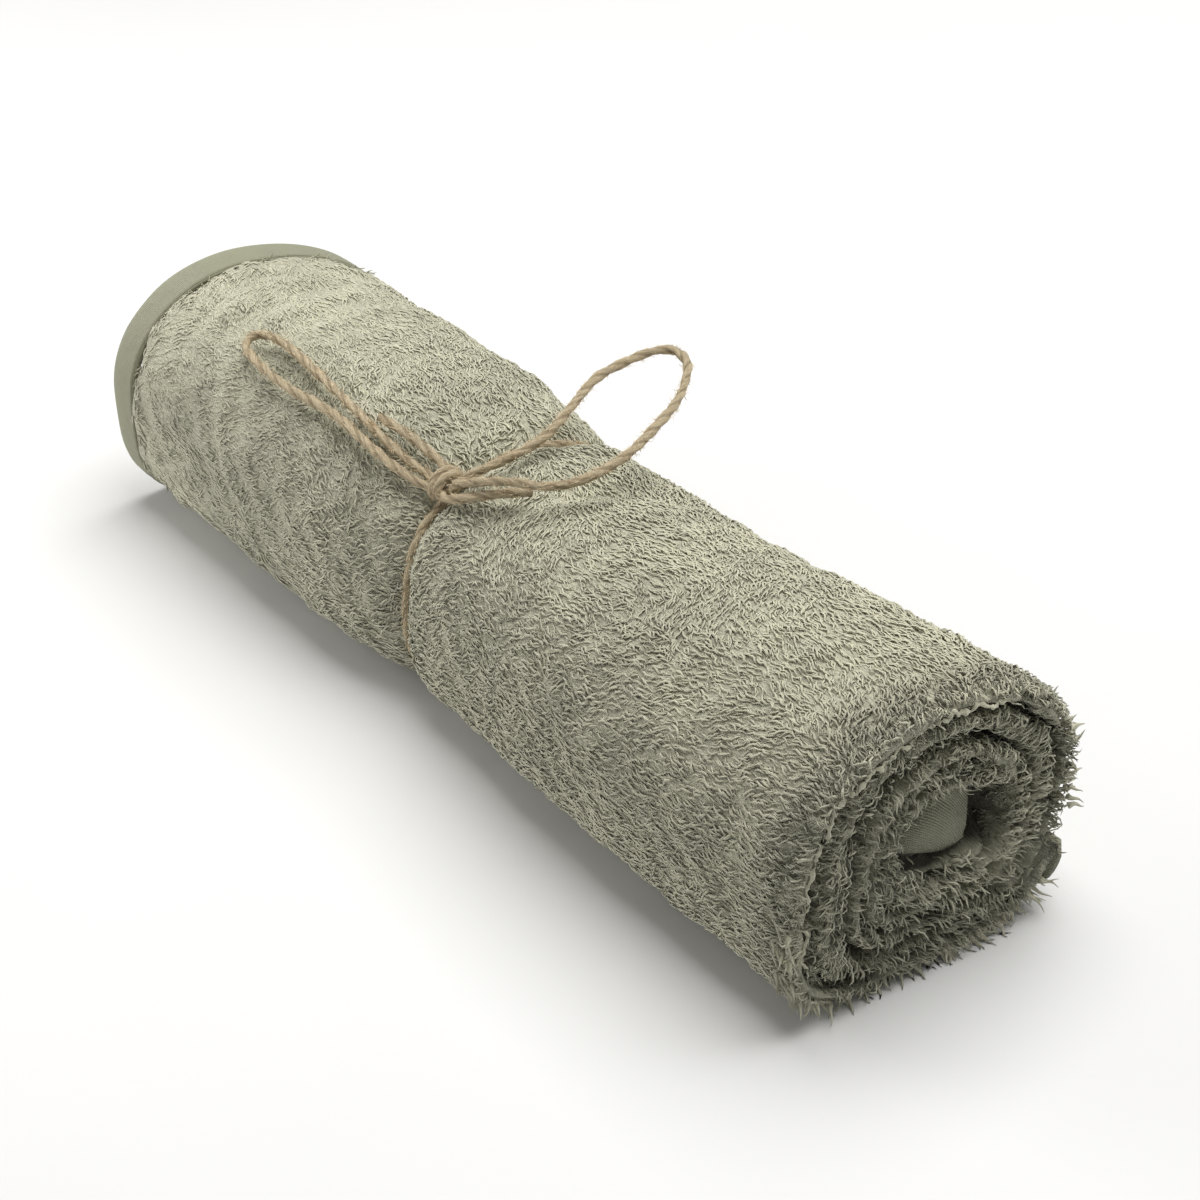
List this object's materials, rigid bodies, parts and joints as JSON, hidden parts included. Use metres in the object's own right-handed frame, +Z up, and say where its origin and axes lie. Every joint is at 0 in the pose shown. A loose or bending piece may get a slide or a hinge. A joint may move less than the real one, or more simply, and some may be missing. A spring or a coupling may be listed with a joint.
{
  "type": "rolled bath towel",
  "caption": "Terry bath towel folded lengthwise, rolled up and tied round its middle with a jute twine bow.",
  "frame": {"origin": "on the resting surface, under the middle of the roll", "axes": "+X along the roll towards its open wound end, +Y to the back, away from the bow's short side, +Z up"},
  "size_m": [0.37, 0.1259, 0.0917],
  "materials": {
    "terry_pile": "matt terry loops, sage grey",
    "smooth_binding": "smooth flat weave, soft sheen",
    "jute_twine": "fuzzy two-ply jute, tan"
  },
  "bodies": {
    "root": {"towel_roll": "terry_pile", "edge_binding": "smooth_binding", "tie_ring": "jute_twine", "tie_knot": "jute_twine", "tie_loop_left": "jute_twine", "tie_loop_right": "jute_twine", "tie_tail_left": "jute_twine", "tie_tail_right": "jute_twine"}
  },
  "joints": []
}
